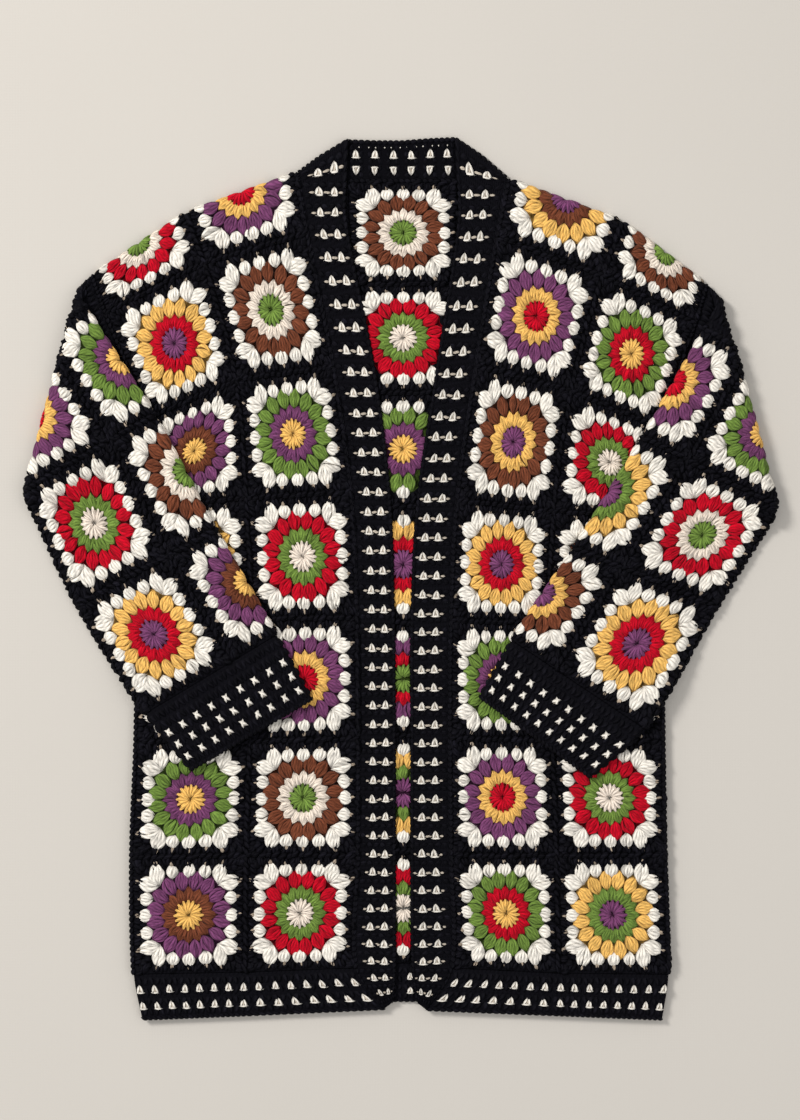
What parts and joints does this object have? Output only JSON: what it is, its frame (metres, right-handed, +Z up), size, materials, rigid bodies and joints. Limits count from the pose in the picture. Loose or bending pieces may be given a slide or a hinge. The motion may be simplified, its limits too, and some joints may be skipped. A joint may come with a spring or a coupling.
{
  "type": "cardigan",
  "caption": "Open-front cardigan of crocheted squares with plain worked bands, laid flat with both sleeves turned over onto the front.",
  "frame": {"origin": "on the surface that the garment lies on, under the middle of its outline", "axes": "+Z up, +Y from the hem to the neck, +X to the wearer's left"},
  "size_m": [0.7165, 0.8427, 0.0183],
  "materials": {
    "square_panels": "worsted yarn crocheted in rounds of many colours on black, matt with a short nap",
    "black_yarn": "black worsted yarn worked plain, with small cream stitches, matt with a short nap"
  },
  "bodies": {
    "root": {"back": "square_panels", "back_hem": "black_yarn", "neck_band": "black_yarn", "right_front": "square_panels", "right_front_band": "black_yarn", "right_front_hem": "black_yarn", "right_sleeve": "square_panels", "right_cuff": "black_yarn", "left_front": "square_panels", "left_front_band": "black_yarn", "left_front_hem": "black_yarn", "left_sleeve": "square_panels", "left_cuff": "black_yarn"}
  },
  "joints": []
}
